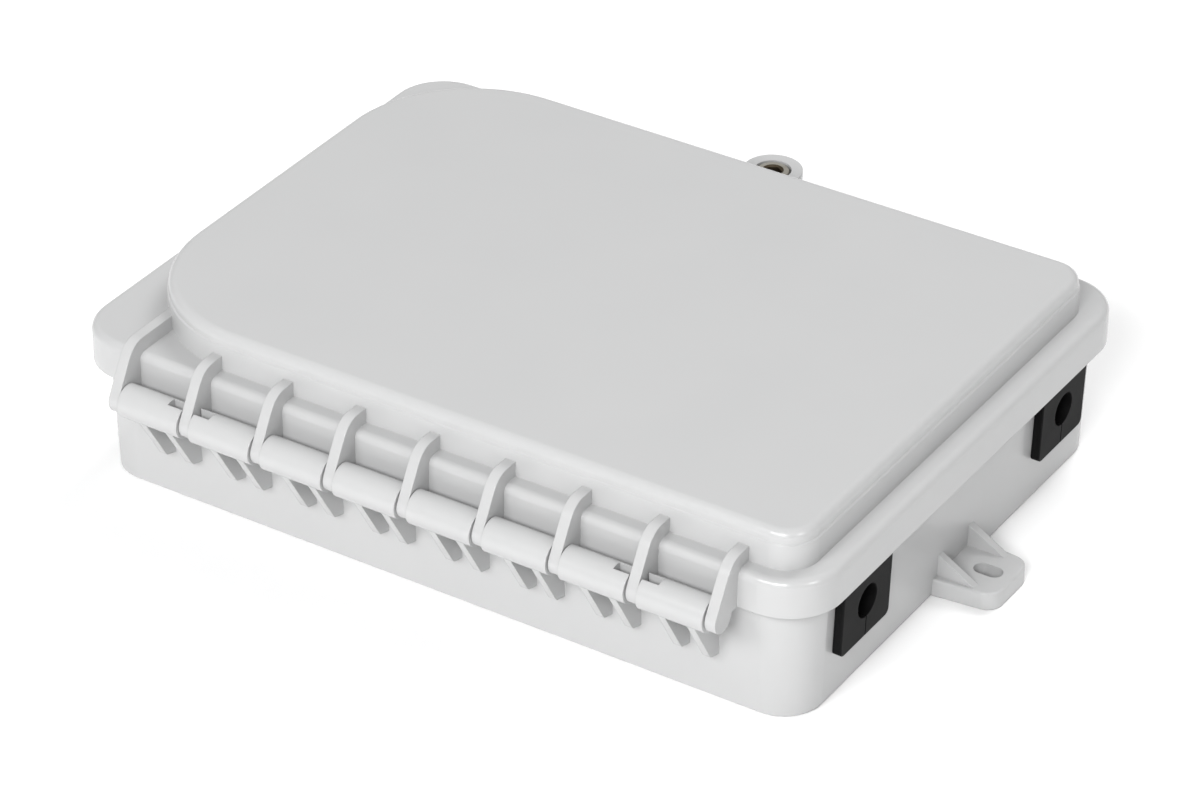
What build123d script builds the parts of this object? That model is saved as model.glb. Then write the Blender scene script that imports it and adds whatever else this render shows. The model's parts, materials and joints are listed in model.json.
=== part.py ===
from build123d import *
import math
import os

# Fibre distribution box for a wall, lying on its back. All sizes are in millimetres.
# X runs along the hinge to the cable end, Y from the hinge to the lock, Z from the wall outwards.
# The origin is the middle of the face that lies on the wall.

# Housing
rim_length = 200.0
rim_width = 149.0
rim_corner = 13.5
rim_height = 9.5
rim_edge = 2.0
split_height = 29.8
wall = 2.2
floor = 2.4
draft = 1.7
base_inset = 4.5
base_corner = 10.0
base_edge = 0.4
skirt_overlap = 5.8

# Raised panel of the lid, with its distance from each side of the rim
panel_height = 9.6
panel_margin_hinge = 4.6
panel_margin_lock = 9.5
panel_margin_cable = 5.5
panel_margin_far = 8.1
panel_corner_far = 35.0
panel_corner_cable = 8.0
panel_edge = 2.1
panel_step = 0.35
panel_step_height = 6.6

# Hinge
arm_count = 9
arm_pitch = 20.1
arm_thickness = 2.7
arm_side_gap = 0.25
arm_rise = 3.8
arm_reach = 2.2
arm_bend = 6.0
hinge_standoff = 5.7
barrel_radius = 4.15
knuckle_radius = 3.45
pin_arms = (1, 7)
pin_radius = 1.6
pin_length = 3.6
pin_clearance = 0.08
pin_end_gap = 0.5
snap_slot_width = 2.7
snap_slot_length = 4.2

# Gussets that carry the hinge barrels
gusset_thickness = 2.0
gusset_spacing = 7.5
gusset_foot_height = 12.0
gusset_foot_depth = 3.6
gusset_toe_rise = 1.2
gusset_lean = 30.8
gusset_top_gap = 0.9
gusset_shelf = 1.6
gusset_nose_drop = 3.1

# Mounting ears
ear_length = 15.5
ear_root_width = 20.4
ear_tip_width = 17.0
ear_thickness = 4.5
ear_corner = 4.2
ear_edge = 0.6
ear_slot_width = 4.3
ear_slot_length = 7.2
ear_slot_place = 9.0
ear_rib_thickness = 2.0
ear_rib_spacing = 14.4
ear_rib_height = 10.2
ear_rib_length = 9.7

# Cable entries
entry_side_distance = 23.8
entry_axis_height = 21.1
grommet_width = 21.4
grommet_bottom = 11.5
grommet_top_gap = 0.5
grommet_proud = 2.3
grommet_lip = 2.0
grommet_corner = 1.6
grommet_inner_flange = 2.2
grommet_fit = 0.1
grommet_edge = 0.3
cable_radius = 4.2
slit_width = 0.4

# Seal
gasket_width = 3.6
gasket_height = 1.3
gasket_side_gap = 0.2

# Lock
lug_radius = 7.4
lug_overhang = 3.6
lug_face_gap = 0.3
base_lug_height = 13.0
base_lug_taper = 8.0
recess_radius = 4.6
recess_depth = 4.8
seal_thickness = 0.8
seal_radius = 3.9
seal_hole_gap = 0.1
screw_head_radius = 4.1
screw_head_height = 4.0
screw_head_chamfer = 0.5
screw_radius = 2.1
screw_length = 12.4
screw_tip_chamfer = 0.5
screw_hole_radius = 2.75
hex_across_flats = 4.0
hex_depth = 2.4
insert_radius = 3.5
insert_bore = 2.65
insert_length = 8.5
insert_press_gap = 0.03

# Splice tray
tray_far_gap = 5.5
tray_adapter_gap = 22.0
tray_side_gap = 11.0
tray_corner = 30.0
tray_seat_height = 17.0
tray_floor = 1.6
tray_wall = 1.6
tray_depth = 8.5
tray_post_radius = 3.6
tray_post_end = 13.0
tray_post_side = 16.0
tray_gate_width = 14.0
tray_gate_y = 34.0
tray_lip_size = 7.0
tray_lip_thickness = 1.0
tray_lip_count = 5
tray_drum_radius = 17.0
tray_drum_shift = 24.0
tray_drum_rise = 5.6
cover_thickness = 1.2
cover_notch_radius = 7.0

# Splice holder
groove_count = 12
groove_width = 3.0
groove_rib = 1.2
holder_length = 24.0
holder_gap = 6.0
holder_base = 1.2
holder_height = 5.2

# Adapters and their bracket
adapter_row_place = 57.5
adapter_row_end = 6.5
adapter_pitch = 14.0
adapter_width = 12.7
adapter_height = 9.2
adapter_length = 25.0
adapter_wall = 1.3
adapter_pocket = 10.5
adapter_flange = 0.6
adapter_flange_length = 1.6
adapter_sleeve_radius = 2.2
adapter_sleeve_bore = 1.3
adapter_sleeve_length = 7.0
adapter_key_width = 2.4
window_clearance = 0.1
bracket_thickness = 1.6
bracket_foot = 13.0
bracket_corner = 1.5
bracket_side_gap = 7.0
bracket_seat_height = 5.4
bracket_window_rise = 3.0
bracket_post_radius = 3.4
bracket_post_end = 4.0
plug_reach = 3.2
plug_stem_length = 7.0
plug_clearance = 0.15
plug_rim = 0.5
plug_corner = 1.0

# Cable clamps and anchors for the strength member
clamp_place = 13.5
clamp_seat_drop = 0.5
clamp_length = 9.0
clamp_screw_spacing = 20.0
clamp_post_radius = 3.4
clamp_thickness = 2.6
clamp_foot_width = 27.0
clamp_play = 0.2
cradle_thickness = 3.0
cradle_corner = 0.5
anchor_place = 27.5
anchor_post_radius = 4.0
anchor_post_height = 8.0
anchor_size = 7.6
anchor_height = 8.0
anchor_corner = 0.8
anchor_hole_radius = 1.5
anchor_hole_rise = 3.6

# Cable tie bars on the floor
tie_bar_place = 35.5
tie_bar_spacing = 46.2
tie_bar_span = 9.0
tie_bar_width = 3.0
tie_bar_rise = 5.0
tie_bar_thickness = 1.8

# Small screws
small_screw_radius = 1.2
small_screw_head_radius = 2.7
small_screw_head_height = 1.7
small_screw_head_edge = 0.7
small_screw_length = 4.0
small_screw_hole = 1.5
pilot_radius = 1.25
pilot_extra = 0.8
cross_slot_width = 0.7
cross_slot_length = 3.2
cross_slot_depth = 0.8

# Places worked out from the sizes above
ledge_height = split_height + rim_height
lid_top = ledge_height + panel_height
wall_top = split_height + skirt_overlap
base_length = rim_length - 2 * base_inset
base_width = rim_width - 2 * base_inset
draft_slope = math.tan(math.radians(draft))
hinge_y = -rim_width / 2 - hinge_standoff
hinge_z = split_height
barrel_length = arm_pitch - arm_thickness - 2 * arm_side_gap
lug_y = rim_width / 2 + lug_overhang
entry_y = base_width / 2 - entry_side_distance
entry_places = {"front": -entry_y, "rear": entry_y}
recess_floor = ledge_height - recess_depth
clamp_x = base_length / 2 - clamp_place
clamp_seat_height = entry_axis_height - clamp_seat_drop
anchor_x = base_length / 2 - anchor_place
tie_bar_x = base_length / 2 - tie_bar_place
bracket_width = base_width - 2 * bracket_side_gap
bracket_post_spacing = bracket_width - 2 * bracket_post_end
adapter_count = int((bracket_width - 2 * adapter_row_end) / adapter_pitch)
adapter_centre_x = base_length / 2 - adapter_row_place
adapter_bottom = bracket_seat_height + bracket_window_rise
adapter_middle = adapter_bottom + adapter_height / 2
tray_low_x = -base_length / 2 + tray_far_gap
tray_high_x = adapter_centre_x - tray_adapter_gap
tray_length = tray_high_x - tray_low_x
tray_width = base_width - 2 * tray_side_gap
tray_centre_x = (tray_low_x + tray_high_x) / 2
tray_post_x = tray_length / 2 - tray_post_end
tray_post_y = tray_width / 2 - tray_post_side


def wall_plane(height, y):
    """A plane on the outside of the cable end's wall: x runs along Y, y up the drafted wall."""
    lean = math.radians(draft)
    outward = (math.cos(lean), 0, -math.sin(lean))
    origin = (base_length / 2 + height * draft_slope, y, height)
    return Plane(origin=origin, x_dir=(0, 1, 0), z_dir=outward)


def upright(profile, thickness, x=0.0):
    """A plate across X, from an outline whose points are (y, z)."""
    return Pos(x, 0, 0) * extrude(Plane.YZ * profile, thickness / 2, both=True)


def outline(points):
    return make_face(Polyline(*points, close=True))


def bar(radius, length, x):
    """A round bar along X on the hinge axis."""
    return Pos(x, hinge_y, hinge_z) * Cylinder(radius, length, rotation=(0, 90, 0))


def post(radius, bottom, top, x, y):
    return Pos(x, y, bottom) * extrude(Circle(radius), top - bottom)


def rounded_block(length, width, corner, bottom, top, x=0.0, y=0.0):
    return Pos(x, y, bottom) * extrude(RectangleRounded(length, width, corner), top - bottom)


def small_screw(seat, x, y):
    """A small screw with a cross slot, its head resting at the seat height."""
    head = post(small_screw_head_radius, seat, seat + small_screw_head_height, x, y)
    head = fillet(head.edges().group_by(Axis.Z)[-1], small_screw_head_edge)
    shank = post(small_screw_radius, seat - small_screw_length, seat, x, y)
    slot = Rectangle(cross_slot_length, cross_slot_width) + Rectangle(cross_slot_width, cross_slot_length)
    top = seat + small_screw_head_height
    return head + shank - Pos(x, y, top - cross_slot_depth) * extrude(slot, cross_slot_depth)


def pilot_hole(seat, x, y):
    depth = small_screw_length + pilot_extra
    return post(pilot_radius, seat - depth, seat, x, y)


# Places that repeat
def arm_x(index):
    return (index - (arm_count - 1) / 2) * arm_pitch


def barrel_x(index):
    return (arm_x(index) + arm_x(index + 1)) / 2


def tray_posts():
    return [(tray_centre_x + sx * tray_post_x, sy * tray_post_y) for sx in (-1, 1) for sy in (-1, 1)]


def bracket_foot_x():
    return adapter_centre_x - bracket_foot / 2


def bracket_posts():
    return [(bracket_foot_x(), sy * bracket_post_spacing / 2) for sy in (-1, 1)]


def clamp_screws(y):
    return [(clamp_x, y + sy * clamp_screw_spacing / 2) for sy in (-1, 1)]


def adapter_y(index):
    return (index - (adapter_count - 1) / 2) * adapter_pitch


# Base
def base_walls():
    outside = extrude(RectangleRounded(base_length, base_width, base_corner), wall_top, taper=-draft)
    outside = fillet(outside.edges().group_by(Axis.Z)[0], base_edge)
    shrink = 2 * (wall / math.cos(math.radians(draft)) - floor * draft_slope)
    cavity = RectangleRounded(base_length - shrink, base_width - shrink, base_corner - shrink / 2)
    return outside - Pos(0, 0, floor) * extrude(cavity, wall_top - floor + 1, taper=-draft)


def hinge_barrel(index):
    """One barrel of the base, with its two gussets and the shelf between it and the wall."""
    middle = barrel_x(index)
    body = bar(barrel_radius, barrel_length, middle)
    wall_face = -(base_width / 2 + gusset_foot_height * draft_slope)
    root = wall_face + wall / 2
    lean = math.tan(math.radians(gusset_lean))
    toe = (wall_face - gusset_foot_depth, gusset_foot_height + gusset_toe_rise)
    nose_z = hinge_z - gusset_nose_drop
    nose = (toe[0] - (nose_z - toe[1]) * lean, nose_z)
    web_top = split_height - gusset_top_gap
    web = outline([(root, gusset_foot_height), toe, nose, (hinge_y, web_top), (root, web_top)])
    toe_corner = web.vertices().sort_by(Axis.Y)[1]
    web = fillet(toe_corner, gusset_toe_rise)
    for side in (-1, 1):
        body += upright(web, gusset_thickness, middle + side * gusset_spacing / 2)
    shelf = outline([(root, web_top - gusset_shelf), (hinge_y, web_top - gusset_shelf),
                     (hinge_y, web_top), (root, web_top)])
    return body + upright(shelf, barrel_length, middle)


def pin_sockets():
    """Bores for the lid's stub pins, and the slots through which the pins snap in."""
    cuts = []
    for index in pin_arms:
        for side in (-1, 1):
            face = arm_x(index) + side * (arm_thickness / 2 + arm_side_gap)
            bore_length = pin_length - arm_side_gap + pin_end_gap
            cuts.append(bar(pin_radius + pin_clearance, bore_length, face + side * bore_length / 2))
            slot_x = face + side * snap_slot_length / 2
            slot = Box(snap_slot_length, snap_slot_width, barrel_radius * 2)
            cuts.append(Pos(slot_x, hinge_y, hinge_z + barrel_radius) * slot)
    return cuts


def ear():
    """The ear at the cable end: a slotted plate and its two ribs."""
    root = base_length / 2 - wall / 2
    tip = base_length / 2 + ear_length
    half_root = ear_root_width / 2
    half_tip = ear_tip_width / 2
    plan = outline([(root, -half_root), (tip, -half_tip), (tip, half_tip), (root, half_root)])
    plan = fillet(plan.vertices().group_by(Axis.X)[-1], ear_corner)
    plate = extrude(plan, ear_thickness)
    rim = plate.edges().group_by(Axis.Z)[-1].sort_by(Axis.X)[1:]
    plate = fillet(rim, ear_edge)
    slot = Pos(base_length / 2 + ear_slot_place, 0) * SlotOverall(ear_slot_length, ear_slot_width)
    plate -= extrude(slot, ear_thickness)
    face = base_length / 2 + ear_thickness * draft_slope
    rib = outline([(root, 0), (face + ear_rib_length, 0), (face + ear_rib_length, ear_thickness),
                   (face, ear_rib_height), (root, ear_rib_height)])
    for side in (-1, 1):
        middle = side * ear_rib_spacing / 2
        plate += Pos(0, middle, 0) * extrude(Plane.XZ * rib, ear_rib_thickness / 2, both=True)
    return plate - extrude(slot, ear_thickness)


def lug_plan(inside):
    """Plan of the lock lug, from inside the wall to its round end."""
    neck = Pos(0, (lug_y + inside) / 2) * Rectangle(2 * lug_radius, lug_y - inside)
    return neck + Pos(0, lug_y) * Circle(lug_radius)


def base_lug():
    """The lug under the lid's lug, which carries the insert and tapers down into the wall."""
    top = split_height - lug_face_gap
    bottom = top - base_lug_height
    body = Pos(0, 0, bottom) * extrude(lug_plan(base_width / 2 - wall / 2), base_lug_height)
    outer = lug_y + lug_radius
    taper = outline([(outer + 1, bottom - 1), (base_width / 2, bottom - 1), (base_width / 2, bottom),
                     (outer + 1, bottom + base_lug_taper)])
    return body - upright(taper, 4 * lug_radius)


def insert_pocket():
    top = split_height - lug_face_gap
    return post(insert_radius + insert_press_gap, top - insert_length, top, 0, lug_y)


def grommet_notch(y):
    """The notch in the wall that a grommet slides into, open at the top."""
    half = grommet_width / 2 - grommet_lip
    bottom = grommet_bottom + grommet_lip
    shape = Pos(0, wall_top - bottom) * Rectangle(2 * half, 2 * (wall_top - bottom))
    shape = fillet(shape.vertices().group_by(Axis.Y)[0], grommet_corner / 2)
    return extrude(wall_plane(bottom, y) * shape, 2 * wall, both=True)


def cable_cradle(y):
    """Two screw posts and a half-round saddle behind a cable entry."""
    body = rounded_block(cradle_thickness, clamp_screw_spacing, cradle_corner,
                         floor / 2, clamp_seat_height, clamp_x, y)
    for x, post_y in clamp_screws(y):
        body += post(clamp_post_radius, floor / 2, clamp_seat_height, x, post_y)
    seat = Cylinder(cable_radius + clamp_play, clamp_length, rotation=(0, 90, 0))
    body -= Pos(clamp_x, y, entry_axis_height) * seat
    for x, post_y in clamp_screws(y):
        body -= pilot_hole(clamp_seat_height, x, post_y)
    return body


def tie_bar(y):
    """A small bridge on the floor for a cable tie."""
    top = floor + tie_bar_rise
    span = tie_bar_span / 2
    inner = span - tie_bar_thickness
    arch = outline([(y - span, floor / 2), (y - span, top), (y + span, top), (y + span, floor / 2)])
    arch = fillet(arch.vertices().group_by(Axis.Z)[-1], tie_bar_thickness)
    hole = outline([(y - inner, floor), (y - inner, top - tie_bar_thickness),
                    (y + inner, top - tie_bar_thickness), (y + inner, floor)])
    return upright(arch - hole, tie_bar_width, tie_bar_x)


def make_base():
    body = base_walls()
    body += ear()
    body += mirror(ear(), Plane.YZ)
    body += base_lug()
    body -= insert_pocket()
    for index in range(arm_count - 1):
        body += hinge_barrel(index)
    for cut in pin_sockets():
        body -= cut
    for x, y in tray_posts():
        body += post(tray_post_radius, floor / 2, tray_seat_height, x, y)
        body -= pilot_hole(tray_seat_height, x, y)
    for x, y in bracket_posts():
        body += post(bracket_post_radius, floor / 2, bracket_seat_height, x, y)
        body -= post(pilot_radius, floor, bracket_seat_height, x, y)
    for y in entry_places.values():
        body -= grommet_notch(y)
        body += cable_cradle(y)
        body += post(anchor_post_radius, floor / 2, floor + anchor_post_height, anchor_x, y)
    for side in (-1, 1):
        body += tie_bar(side * tie_bar_spacing / 2)
    return body


# Lid
def panel_plan(inset):
    """Plan of the raised panel, with large corners at the far end from the cables."""
    length = rim_length - panel_margin_far - panel_margin_cable
    width = rim_width - panel_margin_hinge - panel_margin_lock
    middle = ((panel_margin_far - panel_margin_cable) / 2, (panel_margin_hinge - panel_margin_lock) / 2)
    plan = Rectangle(length - 2 * inset, width - 2 * inset)
    plan = fillet(plan.vertices().group_by(Axis.X)[0], panel_corner_far - inset)
    plan = fillet(plan.vertices().group_by(Axis.X)[-1], panel_corner_cable - inset)
    return Pos(*middle) * plan


def panel_wall_y(x):
    """Where the panel's wall stands on the hinge side, which is further in at the large corner."""
    straight = -rim_width / 2 + panel_margin_hinge
    into_corner = -rim_length / 2 + panel_margin_far + panel_corner_far - x
    if into_corner <= 0:
        return straight
    return straight + panel_corner_far - math.sqrt(panel_corner_far ** 2 - into_corner ** 2)


def hinge_arm_plan(x):
    """Side view of a hinge arm: over the ledge, down the rim and round the hinge axis."""
    top = ledge_height + arm_rise
    root = panel_wall_y(x - arm_thickness / 2) + wall / 2
    crest = -rim_width / 2 - arm_reach
    lean = math.atan2(top - hinge_z, crest - hinge_y)
    reach = math.hypot(top - hinge_z, crest - hinge_y)
    turn = lean + math.acos(knuckle_radius / reach)
    touch = (hinge_y + knuckle_radius * math.cos(turn), hinge_z + knuckle_radius * math.sin(turn))
    inner = -rim_width / 2 + wall / 2
    plate = outline([(root, top), (crest, top), touch, (hinge_y, hinge_z), (inner, hinge_z),
                     (inner, ledge_height - wall / 2), (root, ledge_height - wall / 2)])
    bend = plate.vertices().group_by(Axis.Y)[-1].sort_by(Axis.X)[0]
    plate = fillet(bend, arm_bend)
    return plate + Pos(hinge_y, hinge_z) * Circle(knuckle_radius)


def make_lid():
    rim = rounded_block(rim_length, rim_width, rim_corner, split_height, ledge_height)
    rim = fillet(rim.edges().group_by(Axis.Z)[-1], rim_edge)
    step_height = ledge_height + panel_step_height
    panel = Pos(0, 0, ledge_height - wall) * extrude(panel_plan(0), panel_step_height + wall)
    panel = chamfer(panel.edges().group_by(Axis.Z)[-1], panel_step)
    crown = Pos(0, 0, step_height) * extrude(panel_plan(panel_step), lid_top - step_height)
    crown = fillet(crown.edges().group_by(Axis.Z)[-1], panel_edge)
    lug = Pos(0, 0, split_height) * extrude(lug_plan(rim_width / 2 - wall / 2), rim_height)
    body = rim + panel + crown + lug
    for index in range(arm_count):
        body += upright(hinge_arm_plan(arm_x(index)), arm_thickness, arm_x(index))
    skirt = rounded_block(rim_length - 2 * wall, rim_width - 2 * wall, rim_corner - wall,
                          split_height, ledge_height - wall)
    hollow = Pos(0, 0, split_height) * extrude(panel_plan(wall), lid_top - wall - split_height)
    body -= skirt
    body -= hollow
    body -= post(recess_radius, recess_floor, ledge_height, 0, lug_y)
    body -= post(screw_hole_radius, split_height, recess_floor, 0, lug_y)
    for index in pin_arms:
        body += bar(pin_radius, arm_thickness + 2 * pin_length, arm_x(index))
    return body


def make_gasket():
    """Foam strip under the ledge, which presses on the top of the base wall."""
    length = rim_length - 2 * wall - 2 * gasket_side_gap
    width = rim_width - 2 * wall - 2 * gasket_side_gap
    corner = rim_corner - wall - gasket_side_gap
    strip = RectangleRounded(length, width, corner)
    strip -= RectangleRounded(length - 2 * gasket_width, width - 2 * gasket_width, corner - gasket_width)
    return Pos(0, 0, ledge_height - wall - gasket_height) * extrude(strip, gasket_height)


# Lock
def make_lock_seal():
    ring = Circle(seal_radius) - Circle(screw_radius + seal_hole_gap)
    return Pos(0, lug_y, recess_floor) * extrude(ring, seal_thickness)


def make_lock_screw():
    seat = recess_floor + seal_thickness
    head = post(screw_head_radius, seat, seat + screw_head_height, 0, lug_y)
    head = chamfer(head.edges().group_by(Axis.Z)[-1], screw_head_chamfer)
    shank = post(screw_radius, seat - screw_length, seat, 0, lug_y)
    shank = chamfer(shank.edges().group_by(Axis.Z)[0], screw_tip_chamfer)
    socket = RegularPolygon(hex_across_flats / 2, 6, major_radius=False)
    top = seat + screw_head_height
    return head + shank - Pos(0, lug_y, top - hex_depth) * extrude(socket, hex_depth)


def make_lock_insert():
    top = split_height - lug_face_gap
    sleeve = Circle(insert_radius) - Circle(insert_bore)
    return Pos(0, lug_y, top - insert_length) * extrude(sleeve, insert_length)


# Cable entries
def make_grommet(y):
    """A slit rubber block with a groove round it for the edges of the wall's notch."""
    outer_height = split_height - grommet_top_gap - grommet_bottom
    neck_bottom = grommet_bottom + grommet_lip
    neck_height = wall_top - neck_bottom
    inner_height = wall_top - grommet_bottom
    neck_width = grommet_width - 2 * grommet_lip - 2 * grommet_fit

    def block(width, height, bottom, corner, inner, outer):
        shape = Pos(0, height / 2) * Rectangle(width, height)
        shape = fillet(shape.vertices().group_by(Axis.Y)[0], corner)
        plane = wall_plane(bottom, y).offset(inner)
        return extrude(plane * shape, outer - inner)

    body = block(grommet_width, outer_height, grommet_bottom, grommet_corner, grommet_fit, grommet_proud)
    body = fillet(body.edges().filter_by(Axis.Y, reverse=True).group_by(Axis.X)[-1], grommet_edge)
    body += block(neck_width, neck_height - grommet_fit, neck_bottom + grommet_fit, grommet_corner / 2,
                  -wall - grommet_fit, grommet_fit)
    body += block(grommet_width, inner_height, grommet_bottom, grommet_corner,
                  -wall - grommet_inner_flange, -wall - grommet_fit)
    reach = 2 * (wall + grommet_inner_flange + grommet_proud)
    axis_x = wall_plane(entry_axis_height, y).origin.X
    drop = entry_axis_height - grommet_bottom + grommet_lip
    body -= Pos(axis_x, y, entry_axis_height) * Cylinder(cable_radius, reach, rotation=(0, 90, 0))
    body -= Pos(axis_x, y, entry_axis_height - drop / 2) * Box(reach, slit_width, drop)
    return body


def make_clamp(y):
    """An arched bar that holds the cable down on its saddle."""
    inner = cable_radius + clamp_play
    outer = inner + clamp_thickness
    half = clamp_foot_width / 2
    top = clamp_seat_height + clamp_thickness
    foot = outline([(y - half, clamp_seat_height), (y - half, top),
                    (y + half, top), (y + half, clamp_seat_height)])
    shape = foot + Pos(y, entry_axis_height) * Circle(outer)
    below = outline([(y - half, clamp_seat_height - outer), (y - half, clamp_seat_height),
                     (y + half, clamp_seat_height), (y + half, clamp_seat_height - outer)])
    shape = shape - below - Pos(y, entry_axis_height) * Circle(inner)
    body = upright(shape, clamp_length, clamp_x)
    for x, screw_y in clamp_screws(y):
        body -= post(small_screw_hole, clamp_seat_height, top, x, screw_y)
    return body


def make_clamp_screws(y):
    seat = clamp_seat_height + clamp_thickness
    return Compound([small_screw(seat, x, screw_y) for x, screw_y in clamp_screws(y)])


def make_anchor(y):
    """A steel block with a cross hole and a clamping screw for the cable's strength member."""
    bottom = floor + anchor_post_height
    body = rounded_block(anchor_size, anchor_size, anchor_corner, bottom, bottom + anchor_height, anchor_x, y)
    hole = Cylinder(anchor_hole_radius, anchor_size, rotation=(0, 90, 0))
    body -= Pos(anchor_x, y, bottom + anchor_hole_rise) * hole
    head = bottom + anchor_height
    body += post(small_screw_head_radius, head, head + small_screw_head_height, anchor_x, y)
    slot = Rectangle(2 * small_screw_head_radius, cross_slot_width)
    top = head + small_screw_head_height
    return body - Pos(anchor_x, y, top - cross_slot_depth) * extrude(slot, cross_slot_depth)


# Splice tray
def tray_plan(inset):
    return RectangleRounded(tray_length - 2 * inset, tray_width - 2 * inset, tray_corner - inset)


def make_tray():
    """Shallow tray with round ends, fibre lips, two winding drums and two entry gates."""
    tray = extrude(tray_plan(0), tray_depth)
    tray -= Pos(0, 0, tray_floor) * extrude(tray_plan(tray_wall), tray_depth)
    lip_height = tray_depth - tray_lip_thickness / 2
    lip = Pos(0, 0, lip_height) * Box(tray_lip_size, tray_lip_size, tray_lip_thickness)
    for index in range(tray_lip_count):
        x = (index - (tray_lip_count - 1) / 2) * tray_length / (tray_lip_count + 1)
        for side in (-1, 1):
            tray += Pos(x, side * (tray_width - tray_lip_size) / 2, 0) * lip
    for side in (-1, 1):
        tray += Pos((tray_lip_size - tray_length) / 2, side * tray_post_y / 2, 0) * lip
    ring = Circle(tray_drum_radius) - Circle(tray_drum_radius - tray_wall)
    half = Pos(0, tray_drum_radius / 2) * Rectangle(2 * tray_drum_radius, tray_drum_radius)
    arc = extrude(ring & half, tray_floor + tray_drum_rise)
    tray += Pos(0, tray_drum_shift, 0) * arc
    tray += mirror(Pos(0, tray_drum_shift, 0) * arc, Plane.XZ)
    for side in (-1, 1):
        gate = Box(4 * tray_wall, tray_gate_width, tray_depth)
        tray -= Pos(tray_length / 2, side * tray_gate_y, tray_floor + tray_depth / 2) * gate
    tray = Pos(tray_centre_x, 0, tray_seat_height) * tray
    for x, y in tray_posts():
        tray -= post(small_screw_hole, tray_seat_height, tray_seat_height + tray_floor, x, y)
    return tray


def make_tray_cover():
    plate = extrude(tray_plan(0), cover_thickness)
    plate -= Pos(tray_length / 2, 0, 0) * extrude(Circle(cover_notch_radius), cover_thickness)
    plate = Pos(tray_centre_x, 0, tray_seat_height + tray_depth) * plate
    return plate


def make_tray_screws():
    seat = tray_seat_height + tray_floor
    return Compound([small_screw(seat, x, y) for x, y in tray_posts()])


def make_splice_holder():
    """Comb of grooves for splice protectors, in two rows."""
    width = groove_count * (groove_width + groove_rib) + groove_rib
    body = Pos(0, 0, holder_base / 2) * Box(holder_length, width, holder_base)
    row = (holder_length - holder_gap) / 2
    for index in range(groove_count + 1):
        y = -width / 2 + groove_rib / 2 + index * (groove_width + groove_rib)
        for side in (-1, 1):
            x = side * (holder_length - row) / 2
            body += Pos(x, y, holder_height / 2) * Box(row, groove_rib, holder_height)
    return Pos(tray_centre_x, 0, tray_seat_height + tray_floor) * body


# Adapters
def make_bracket():
    """Folded sheet with a row of open windows for the adapters."""
    top = adapter_bottom + adapter_height
    height = top - bracket_seat_height
    face = Box(bracket_thickness, bracket_width, height)
    face = Pos(adapter_centre_x, 0, bracket_seat_height + height / 2) * face
    foot = rounded_block(bracket_foot, bracket_width, bracket_corner, bracket_seat_height,
                         bracket_seat_height + bracket_thickness, bracket_foot_x(), 0)
    body = face + foot
    window = Box(4 * bracket_thickness, adapter_width + 2 * window_clearance, adapter_height)
    for index in range(adapter_count):
        body -= Pos(adapter_centre_x, adapter_y(index), adapter_middle) * window
    for x, y in bracket_posts():
        body -= post(small_screw_hole, bracket_seat_height, bracket_seat_height + bracket_thickness, x, y)
    return body


def make_bracket_screws():
    seat = bracket_seat_height + bracket_thickness
    return Compound([small_screw(seat, x, y) for x, y in bracket_posts()])


def make_adapter(index):
    """Square coupling sleeve, open at both ends, with a round sleeve inside each end."""
    body = Box(adapter_length, adapter_width, adapter_height)
    flange_x = bracket_thickness / 2 + window_clearance + adapter_flange_length / 2
    rib_height = adapter_height + adapter_flange
    for side in (-1, 1):
        rib = Box(adapter_flange_length, adapter_width + adapter_flange, rib_height)
        body += Pos(side * flange_x, 0, adapter_flange / 2) * rib
    for side in (-1, 1):
        pocket_x = side * (adapter_length - adapter_pocket) / 2
        pocket = Box(adapter_pocket, adapter_width - 2 * adapter_wall, adapter_height - 2 * adapter_wall)
        body -= Pos(pocket_x, 0, 0) * pocket
        keyway = Box(adapter_pocket, adapter_key_width, adapter_wall)
        body -= Pos(pocket_x, 0, (adapter_height - adapter_wall) / 2) * keyway
    reach = adapter_length - 2 * adapter_pocket + 2 * adapter_sleeve_length
    body += Cylinder(adapter_sleeve_radius, reach, rotation=(0, 90, 0))
    body -= Cylinder(adapter_sleeve_bore, reach, rotation=(0, 90, 0))
    return Pos(adapter_centre_x, adapter_y(index), adapter_middle) * body


def make_dust_plugs(index):
    """The pair of dust plugs in the two ends of one adapter."""
    stem_width = adapter_width - 2 * adapter_wall - 2 * plug_clearance
    stem_height = adapter_height - 2 * adapter_wall - 2 * plug_clearance
    hole_radius = adapter_sleeve_radius + plug_clearance
    plugs = []
    for side in (-1, 1):
        end = side * adapter_length / 2
        stem = Pos(end - side * plug_stem_length / 2, 0, 0) * Box(plug_stem_length, stem_width, stem_height)
        cap = Box(plug_reach, adapter_width - 2 * plug_rim, adapter_height - 2 * plug_rim)
        cap = fillet(cap.edges().filter_by(Axis.X), plug_corner)
        hole = Cylinder(hole_radius, plug_stem_length, rotation=(0, 90, 0))
        plug = stem + Pos(end + side * plug_reach / 2, 0, 0) * cap
        plugs.append(plug - Pos(end - side * plug_stem_length / 2, 0, 0) * hole)
    return Compound([Pos(adapter_centre_x, adapter_y(index), adapter_middle) * plug for plug in plugs])


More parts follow.
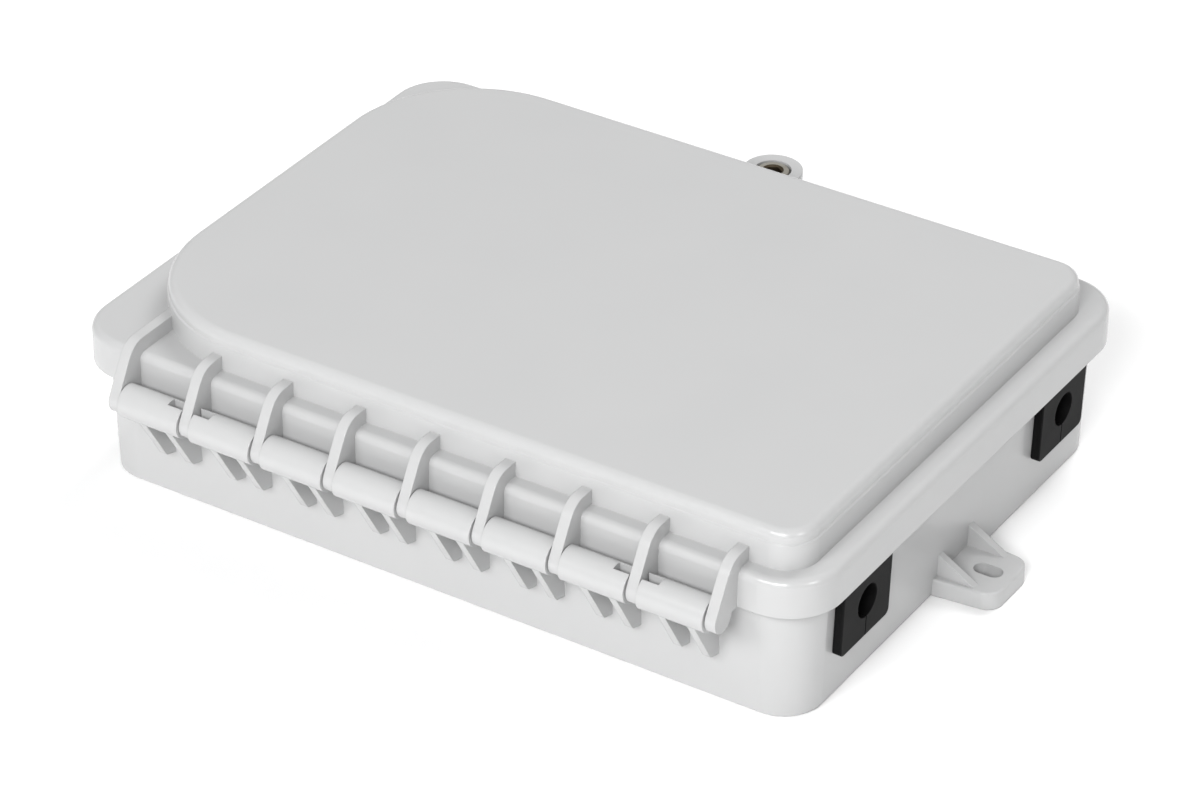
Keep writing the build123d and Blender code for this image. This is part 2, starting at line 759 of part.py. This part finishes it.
def all_parts():
    parts = {
        "base_shell": make_base(),
        "lid_shell": make_lid(),
        "lid_gasket": make_gasket(),
        "lock_screw": make_lock_screw(),
        "lock_seal": make_lock_seal(),
        "lock_insert": make_lock_insert(),
        "splice_tray": make_tray(),
        "tray_cover": make_tray_cover(),
        "tray_screws": make_tray_screws(),
        "splice_holder": make_splice_holder(),
        "adapter_bracket": make_bracket(),
        "bracket_screws": make_bracket_screws(),
    }
    for place, y in entry_places.items():
        parts[f"grommet_{place}"] = make_grommet(y)
        parts[f"cable_clamp_{place}"] = make_clamp(y)
        parts[f"clamp_screws_{place}"] = make_clamp_screws(y)
        parts[f"strength_anchor_{place}"] = make_anchor(y)
    for index in range(adapter_count):
        parts[f"adapter_{index + 1}"] = make_adapter(index)
        parts[f"dust_plugs_{index + 1}"] = make_dust_plugs(index)
    return parts


os.makedirs("parts", exist_ok=True)
for name, shape in all_parts().items():
    export_step(shape, f"parts/{name}.step")
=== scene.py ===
import json
import math

import bpy
from mathutils import Matrix, Vector


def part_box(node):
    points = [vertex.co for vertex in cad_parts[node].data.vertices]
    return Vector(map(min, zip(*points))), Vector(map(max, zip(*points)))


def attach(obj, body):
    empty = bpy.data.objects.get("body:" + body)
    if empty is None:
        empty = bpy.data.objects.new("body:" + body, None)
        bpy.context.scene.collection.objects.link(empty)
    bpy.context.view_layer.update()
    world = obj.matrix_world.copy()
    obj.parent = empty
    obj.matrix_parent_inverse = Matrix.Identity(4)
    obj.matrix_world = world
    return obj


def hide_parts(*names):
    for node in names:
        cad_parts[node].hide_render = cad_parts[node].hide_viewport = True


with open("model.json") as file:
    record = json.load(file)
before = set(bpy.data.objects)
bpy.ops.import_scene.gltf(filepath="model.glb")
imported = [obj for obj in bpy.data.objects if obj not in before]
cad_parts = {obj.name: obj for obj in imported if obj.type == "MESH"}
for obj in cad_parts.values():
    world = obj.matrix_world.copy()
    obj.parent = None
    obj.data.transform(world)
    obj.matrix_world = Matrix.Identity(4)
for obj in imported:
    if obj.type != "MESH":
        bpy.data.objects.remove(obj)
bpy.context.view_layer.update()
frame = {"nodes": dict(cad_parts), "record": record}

# Camera, fitted to the photograph, in degrees, metres and pixels
CAMERA_AZIMUTH = 32.1981
CAMERA_ELEVATION = 32.8119
CAMERA_ROLL = 0.4140
CAMERA_DISTANCE = 1.12016
CAMERA_TARGET = (-0.000616, 0.000223, 0.013446)
CAMERA_NEAR = 0.05
CAMERA_FAR = 20.0
FOCAL_PIXELS = 4720.73
IMAGE_WIDTH = 1200
IMAGE_SHIFT = (-0.4, 1.0)
SENSOR_WIDTH = 36.0

# Lights: azimuth and elevation in degrees, then distance and size in metres, power in watts,
# whether they light matt surfaces and whether glossy ones mirror them
SOFT_BOXES = {
    "box_front": (16.0, 34.0, 1.5, 0.5, 14.6, True, True),
    "box_left": (-10.0, 35.0, 1.5, 0.36, 6.6, True, True),
    "box_right": (75.0, 33.0, 1.5, 0.4, 4.5, False, True),
    "box_back": (172.0, 55.0, 1.5, 0.7, 11.8, True, False),
}
LIGHT_TARGET = (0, 0, 0.02)
WORLD_BRIGHTNESS = 0.475

# Floor, in metres; it lies a little under the object, so that their faces don't coincide
FLOOR_SIZE = 6.0
FLOOR_DROP = 0.0001
FLOOR_CLOUD = 0.4

# Plastic and rubber: sizes and depths of their patterns, in metres
PLASTIC_CLOUD = 0.03
PLASTIC_PATCH = 0.012
PLASTIC_WAVE = 0.02
PLASTIC_WAVE_STRENGTH = 0.35
PLASTIC_WAVE_DEPTH = 0.0001
PLASTIC_GRAIN = 0.0028
PLASTIC_GRAIN_STRENGTH = 0.5
PLASTIC_GRAIN_DEPTH = 0.000008
PLASTIC_EDGE = 0.0003
EDGE_SAMPLES = 6
RUBBER_GRAIN = 0.0016
RUBBER_GRAIN_DEPTH = 0.00002

# How far a material's roughness varies down and up from its middle value
PLASTIC_ROUGHNESS_SPAN = (0.025, 0.03)
METAL_ROUGHNESS_SPAN = (0.07, 0.1)

# Metal: sizes and depth of its patterns, in metres
METAL_CLOUD = 0.002
METAL_PATCH = 0.0008
METAL_GRAIN = 0.00012
METAL_GRAIN_STRENGTH = 0.25
METAL_GRAIN_DEPTH = 0.00001

# Pieces in mesh code: edges sharper than this angle, in degrees, stay sharp
SMOOTH_ANGLE = 35.0

# Lock screw, in metres
SCREW_THREAD_PITCH = 0.0008
SCREW_THREAD_DEPTH = 0.00042
SCREW_THREAD_RADIUS = 0.0024
SCREW_TIP_RADIUS = 0.0015
SCREW_NECK_RADIUS = 0.002
SCREW_NECK_LENGTH = 0.0015
SCREW_HEAD_HEIGHT = 0.004
SCREW_HEAD_EDGE = 0.0006
SOCKET_FLATS = 0.004
SOCKET_MOUTH = 0.0027
SOCKET_DEPTH = 0.0026

# Lock screw: points round it, rings in a turn of the thread, steepness of the thread's flanks
# and width of its root as shares, and steps of the head's rounded edge in radians
SCREW_SEGMENTS = 72
THREAD_RINGS = 9
THREAD_STEEPNESS = 1.3
THREAD_ROOT = 0.15
HEAD_EDGE_TURNS = (0.0, 0.4, 0.8, 1.2, math.pi / 2)

# Spring clips on the adapters, in metres
CLIP_THICKNESS = 0.00025
CLIP_START = 0.0030
CLIP_LENGTH = 0.0052
CLIP_WING = 0.0003
CLIP_DROP = 0.0066
CLIP_CORNER = 0.0006
CLIP_CORNER_STEPS = 5
FLANGE_PROUD = 0.0003
FLANGE_RISE = 0.0006

# Spring clips: share of the length, then share of the flare there
CLIP_COLUMNS = ((0.0, 0.0), (0.55, 0.0), (0.8, 1.0), (1.0, 1.0))


def direction(azimuth, elevation):
    """Unit vector from the object towards a viewer; azimuth 0 is the -Y side, 90 the +X side."""
    a = math.radians(azimuth)
    e = math.radians(elevation)
    return Vector((math.sin(a) * math.cos(e), -math.cos(a) * math.cos(e), math.sin(e)))


def aim(obj, place, target, roll=0.0):
    obj.location = place
    turn = (Vector(target) - Vector(place)).to_track_quat("-Z", "Y").to_matrix()
    obj.rotation_euler = (turn @ Matrix.Rotation(math.radians(roll), 3, "Z")).to_euler()


def make_camera():
    data = bpy.data.cameras.new("camera")
    data.sensor_width = SENSOR_WIDTH
    data.lens = FOCAL_PIXELS / IMAGE_WIDTH * SENSOR_WIDTH
    data.shift_x = IMAGE_SHIFT[0] / IMAGE_WIDTH
    data.shift_y = IMAGE_SHIFT[1] / IMAGE_WIDTH
    data.clip_start = CAMERA_NEAR
    data.clip_end = CAMERA_FAR
    camera = bpy.data.objects.new("camera", data)
    bpy.context.scene.collection.objects.link(camera)
    target = Vector(CAMERA_TARGET)
    place = target + direction(CAMERA_AZIMUTH, CAMERA_ELEVATION) * CAMERA_DISTANCE
    aim(camera, place, target, CAMERA_ROLL)
    bpy.context.scene.camera = camera


def make_lights():
    for name, row in SOFT_BOXES.items():
        azimuth, elevation, distance, size, power, matt, glossy = row
        data = bpy.data.lights.new(name, "AREA")
        data.shape = "SQUARE"
        data.size = size
        data.energy = power
        lamp = bpy.data.objects.new(name, data)
        lamp.visible_diffuse = matt
        lamp.visible_glossy = glossy
        bpy.context.scene.collection.objects.link(lamp)
        aim(lamp, direction(azimuth, elevation) * distance, LIGHT_TARGET)
    world = bpy.data.worlds.new("studio")
    world.use_nodes = True
    background = world.node_tree.nodes["Background"]
    background.inputs["Color"].default_value = (1.0, 1.0, 1.0, 1.0)
    background.inputs["Strength"].default_value = WORLD_BRIGHTNESS
    bpy.context.scene.world = world
    bpy.context.scene.view_settings.view_transform = "Standard"


# Materials
class Shader:
    """A node material that is built up step by step, with textures in the object's own metres."""

    def __init__(self, name):
        self.material = bpy.data.materials.new(name)
        self.material.use_nodes = True
        self.tree = self.material.node_tree
        self.principled = self.tree.nodes["Principled BSDF"]
        self.place = self.tree.nodes.new("ShaderNodeTexCoord").outputs["Object"]

    def set(self, **values):
        """Sets inputs by name: specular_ior_level stands for Specular IOR Level."""
        for key, value in values.items():
            label = key.replace("_", " ").title().replace("Ior", "IOR")
            self.principled.inputs[label].default_value = value

    def link(self, source, target):
        self.tree.links.new(source, target)

    def feed(self, label, source):
        self.link(source, self.principled.inputs[label])

    def noise(self, size, detail, roughness=0.5):
        node = self.tree.nodes.new("ShaderNodeTexNoise")
        node.inputs["Scale"].default_value = 1.0 / size
        node.inputs["Detail"].default_value = detail
        node.inputs["Roughness"].default_value = roughness
        self.link(self.place, node.inputs["Vector"])
        return node.outputs["Fac"]

    def spread(self, source, low, high, start=0.3, end=0.7):
        """Maps a noise's usual span to a range of values."""
        node = self.tree.nodes.new("ShaderNodeMapRange")
        node.inputs["From Min"].default_value = start
        node.inputs["From Max"].default_value = end
        node.inputs["To Min"].default_value = low
        node.inputs["To Max"].default_value = high
        self.link(source, node.inputs["Value"])
        return node.outputs["Result"]

    def blend(self, factor, first, second):
        """Colour between two; a Mix node has its colours at inputs 6 and 7 and output 2."""
        node = self.tree.nodes.new("ShaderNodeMix")
        node.data_type = "RGBA"
        self.link(factor, node.inputs["Factor"])
        node.inputs[6].default_value = (*first, 1.0)
        node.inputs[7].default_value = (*second, 1.0)
        return node.outputs[2]

    def soft_edges(self, radius):
        """Normals that round the sharp edges a little, as a mould leaves them."""
        node = self.tree.nodes.new("ShaderNodeBevel")
        node.samples = EDGE_SAMPLES
        node.inputs["Radius"].default_value = radius
        return node.outputs["Normal"]

    def bump(self, height, strength, distance, under=None):
        node = self.tree.nodes.new("ShaderNodeBump")
        node.inputs["Strength"].default_value = strength
        node.inputs["Distance"].default_value = distance
        self.link(height, node.inputs["Height"])
        if under is not None:
            self.link(under, node.inputs["Normal"])
        return node.outputs["Normal"]


def moulded(name, light, dark, roughness, grain=PLASTIC_GRAIN, depth=PLASTIC_GRAIN_DEPTH):
    """Moulded plastic: faint cloudy colour, fine grain and a slight waviness."""
    shader = Shader(name)
    cloud = shader.spread(shader.noise(PLASTIC_CLOUD, 2.0), 0.0, 1.0, 0.15, 0.85)
    shader.feed("Base Color", shader.blend(cloud, light, dark))
    down, up = PLASTIC_ROUGHNESS_SPAN
    patch = shader.noise(PLASTIC_PATCH, 1.0)
    shader.feed("Roughness", shader.spread(patch, roughness - down, roughness + up, 0.1, 0.9))
    wave = shader.bump(shader.noise(PLASTIC_WAVE, 1.0), PLASTIC_WAVE_STRENGTH,
                       PLASTIC_WAVE_DEPTH, shader.soft_edges(PLASTIC_EDGE))
    grainy = shader.bump(shader.noise(grain, 2.0, 0.6), PLASTIC_GRAIN_STRENGTH, depth, wave)
    shader.feed("Normal", grainy)
    return shader


def housing_plastic():
    """Glossy housing; the denoiser draws lines where a roughness pattern crosses about 0.27."""
    light = (0.466, 0.467, 0.468)
    dark = (0.452, 0.454, 0.456)
    shader = moulded("housing_plastic", light, dark, 0.235)
    shader.set(specular_ior_level=0.5)
    return shader.material


def black_rubber(name):
    light = (0.0040, 0.0040, 0.0042)
    dark = (0.0028, 0.0028, 0.0030)
    shader = moulded(name, light, dark, 0.62, RUBBER_GRAIN, RUBBER_GRAIN_DEPTH)
    shader.set(specular_ior_level=0.12)
    return shader.material


def plain_plastic(name, light, dark, roughness):
    return moulded(name, light, dark, roughness).material


def metal(name, light, dark, roughness):
    """Plated metal: cloudy colour, uneven gloss and a very fine grain."""
    shader = Shader(name)
    shader.set(metallic=1.0)
    cloud = shader.spread(shader.noise(METAL_CLOUD, 4.0), 0.0, 1.0)
    shader.feed("Base Color", shader.blend(cloud, light, dark))
    down, up = METAL_ROUGHNESS_SPAN
    patch = shader.noise(METAL_PATCH, 5.0, 0.6)
    shader.feed("Roughness", shader.spread(patch, roughness - down, roughness + up))
    grain = shader.noise(METAL_GRAIN, 3.0, 0.7)
    shader.feed("Normal", shader.bump(grain, METAL_GRAIN_STRENGTH, METAL_GRAIN_DEPTH))
    return shader.material


# Light colour, dark colour and middle roughness of each plain plastic and metal
PLAIN_PLASTICS = {
    "tray_plastic": ((0.53, 0.53, 0.51), (0.50, 0.50, 0.48), 0.42),
    "cover_plastic": ((0.44, 0.46, 0.48), (0.42, 0.44, 0.46), 0.34),
    "adapter_plastic": ((0.010, 0.095, 0.34), (0.008, 0.080, 0.29), 0.40),
    "plug_plastic": ((0.56, 0.55, 0.50), (0.52, 0.51, 0.46), 0.48),
}
METALS = {
    "screw_steel": ((0.72, 0.69, 0.62), (0.58, 0.55, 0.48), 0.42),
    # The socket's colour is painted shade: a dark brown that stands in for the shade inside the
    # hexagon socket
    "socket_painted_shade": ((0.16, 0.13, 0.09), (0.09, 0.07, 0.045), 0.50),
    "insert_brass": ((0.80, 0.60, 0.28), (0.66, 0.47, 0.20), 0.36),
    "bracket_steel": ((0.64, 0.65, 0.66), (0.53, 0.54, 0.55), 0.36),
}
RUBBERS = ("gasket_foam", "seal_rubber", "holder_rubber", "grommet_rubber")


def make_materials():
    made = {"housing_plastic": housing_plastic()}
    made.update({name: black_rubber(name) for name in RUBBERS})
    made.update({name: plain_plastic(name, *look) for name, look in PLAIN_PLASTICS.items()})
    made.update({name: metal(name, *look) for name, look in METALS.items()})
    return made


def dress_nodes(materials):
    for row in frame["record"]["subparts"]:
        obj = frame["nodes"][row["node"]]
        obj.data.materials.clear()
        obj.data.materials.append(materials[row["material_slot"]])


# Pieces in mesh code
def add_piece(name, body, material, points, faces):
    mesh = bpy.data.meshes.new(name)
    mesh.from_pydata(points, [], faces)
    mesh.materials.append(material)
    mesh.shade_smooth()
    mesh.set_sharp_from_angle(angle=math.radians(SMOOTH_ANGLE))
    piece = bpy.data.objects.new(name, mesh)
    bpy.context.scene.collection.objects.link(piece)
    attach(piece, body)
    return piece


def skin(rings, low_tip, high_tip):
    """Closes a stack of equal rings, lowest first, with a point at each end."""
    count = len(rings[0])
    points = [low_tip] + [point for ring in rings for point in ring] + [high_tip]
    last = len(points) - 1
    faces = []
    for i in range(count):
        j = (i + 1) % count
        faces.append((0, 1 + j, 1 + i))
        faces.append((last, last - count + i, last - count + j))
        for k in range(len(rings) - 1):
            row = 1 + k * count
            faces.append((row + i, row + j, row + count + j, row + count + i))
    return points, faces


def hexagon_radius(angle, flats):
    step = math.radians(60)
    return flats / 2 / math.cos((angle + step / 2) % step - step / 2)


def thread_rings(x, y, tip, neck, count, steps):
    """Rings of a single-start thread that fades in at the tip and ends in a plain neck."""
    rings = []
    for k in range(steps + 1):
        z = tip + (neck - tip) * k / steps
        ring = []
        for i in range(count):
            angle = 2 * math.pi * i / count
            phase = ((z - tip) / SCREW_THREAD_PITCH - i / count) % 1.0
            flank = THREAD_STEEPNESS * (1 - abs(2 * phase - 1)) - THREAD_ROOT
            crest = min(max(flank, 0.0), 1.0)
            radius = SCREW_THREAD_RADIUS - SCREW_THREAD_DEPTH * (1 - crest)
            radius = min(radius, SCREW_TIP_RADIUS + z - tip, SCREW_NECK_RADIUS + neck - z)
            ring.append((x + radius * math.cos(angle), y + radius * math.sin(angle), z))
        rings.append(ring)
    return rings


def turned_ring(x, y, z, radius, count):
    turn = [2 * math.pi * i / count for i in range(count)]
    return [(x + radius * math.cos(a), y + radius * math.sin(a), z) for a in turn]


def socket_ring(x, y, z, flats, count):
    turn = [2 * math.pi * i / count for i in range(count)]
    spans = [hexagon_radius(a, flats) for a in turn]
    return [(x + r * math.cos(a), y + r * math.sin(a), z) for a, r in zip(turn, spans)]


def paint_socket_shade(piece, x, y, low, high, material):
    """Paints shade into the socket: gives the faces of the socket and of the chamfer round it the
    dark painted-shade material.
    """
    piece.data.materials.append(material)
    for face in piece.data.polygons:
        middle = face.center
        reach = math.hypot(middle.x - x, middle.y - y)
        if reach < SOCKET_MOUTH and low < middle.z < high:
            face.material_index = 1


def make_lock_screw(material, socket_shade_material):
    """Round head with a hexagon socket on a threaded shank."""
    low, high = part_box("lock_screw")
    x = (low[0] + high[0]) / 2
    y = (low[1] + high[1]) / 2
    head = (high[0] - low[0]) / 2
    tip = low[2]
    top = high[2]
    seat = top - SCREW_HEAD_HEIGHT
    floor = top - SOCKET_DEPTH
    count = SCREW_SEGMENTS
    neck = seat - SCREW_NECK_LENGTH
    steps = round(THREAD_RINGS * (neck - tip) / SCREW_THREAD_PITCH)
    rings = thread_rings(x, y, tip, neck, count, steps)
    edge = SCREW_HEAD_EDGE
    profile = [(SCREW_NECK_RADIUS, seat), (head - edge / 3, seat), (head, seat + edge / 3)]
    profile += [(head - edge * (1 - math.cos(t)), top - edge * (1 - math.sin(t)))
                for t in HEAD_EDGE_TURNS]
    profile += [(SOCKET_MOUTH + edge / 4, top), (SOCKET_MOUTH, top - edge / 8)]
    rings += [turned_ring(x, y, z, radius, count) for radius, z in profile]
    rings.append(socket_ring(x, y, top - edge * 0.8, SOCKET_FLATS, count))
    rings.append(socket_ring(x, y, floor, SOCKET_FLATS, count))
    rings.append(turned_ring(x, y, floor, SOCKET_FLATS * 0.4, count))
    points, faces = skin(rings, (x, y, tip), (x, y, floor - edge / 2))
    piece = add_piece("lock_screw_threaded", "lock_screw", material, points, faces)
    # Paints shade into the hexagon socket with the second, dark material
    paint_socket_shade(piece, x, y, seat, top - edge / 4, socket_shade_material)
    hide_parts("lock_screw")


def clip_section(centre, top, half_width):
    """Points of a clip's outline across the adapter, from foot to foot."""
    outline = []
    for side in (-1, 1):
        wall = centre + side * half_width
        run = [(wall, top - CLIP_DROP), (wall, top - CLIP_DROP / 2)]
        for step in range(CLIP_CORNER_STEPS + 1):
            angle = math.radians(90) * step / CLIP_CORNER_STEPS
            run.append((centre + side * (half_width - CLIP_CORNER * (1 - math.cos(angle))),
                        top - CLIP_CORNER * (1 - math.sin(angle))))
        outline += run if side < 0 else run[::-1]
    return outline


def make_adapter_clip(index, material):
    """Thin spring steel over an adapter, its two sides flared outwards at one end."""
    low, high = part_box(f"adapter_{index}")
    middle_x = (low[0] + high[0]) / 2
    centre = (low[1] + high[1]) / 2
    half = (high[1] - low[1]) / 2 - FLANGE_PROUD + CLIP_THICKNESS
    top = high[2] - FLANGE_RISE + CLIP_THICKNESS
    outer = clip_section(centre, top, half)
    inner = clip_section(centre, top - CLIP_THICKNESS, half - CLIP_THICKNESS)
    points = []
    for share, flare in CLIP_COLUMNS:
        x = middle_x + CLIP_START + CLIP_LENGTH * share
        for y, z in outer + inner[::-1]:
            side = 1 if y > centre else -1
            low_down = min(max((top - z) / CLIP_DROP * 2, 0.0), 1.0)
            points.append((x, y + side * flare * low_down * CLIP_WING, z))
    strip = len(outer)
    count = 2 * strip
    last_row = (len(CLIP_COLUMNS) - 1) * count
    faces = []
    for row in range(0, last_row, count):
        for i in range(count):
            j = (i + 1) % count
            faces.append((row + i, row + j, row + count + j, row + count + i))
    for row, flip in ((0, True), (last_row, False)):
        for i in range(strip - 1):
            face = (row + i, row + i + 1, row + count - 2 - i, row + count - 1 - i)
            faces.append(face[::-1] if flip else face)
    add_piece(f"adapter_clip_{index}", "base", material, points, faces)


def make_floor():
    half = FLOOR_SIZE / 2
    mesh = bpy.data.meshes.new("floor")
    corners = [(-half, -half, 0), (half, -half, 0), (half, half, 0), (-half, half, 0)]
    mesh.from_pydata(corners, [], [(0, 1, 2, 3)])
    floor = bpy.data.objects.new("floor", mesh)
    floor.location.z = -FLOOR_DROP
    bpy.context.scene.collection.objects.link(floor)
    shader = Shader("floor_paper")
    cloud = shader.spread(shader.noise(FLOOR_CLOUD, 2.0), 0.0, 1.0)
    shader.feed("Base Color", shader.blend(cloud, (0.96, 0.96, 0.96), (0.94, 0.94, 0.94)))
    shader.set(roughness=0.9, specular_ior_level=0.1)
    mesh.materials.append(shader.material)


make_camera()
make_lights()
make_floor()
materials = make_materials()
dress_nodes(materials)
# The second material is painted shade for the screw's socket
make_lock_screw(materials["screw_steel"], materials["socket_painted_shade"])
adapter_count = sum(1 for name in frame["nodes"] if name.removeprefix("adapter_").isdigit())
for index in range(1, adapter_count + 1):
    make_adapter_clip(index, materials["bracket_steel"])
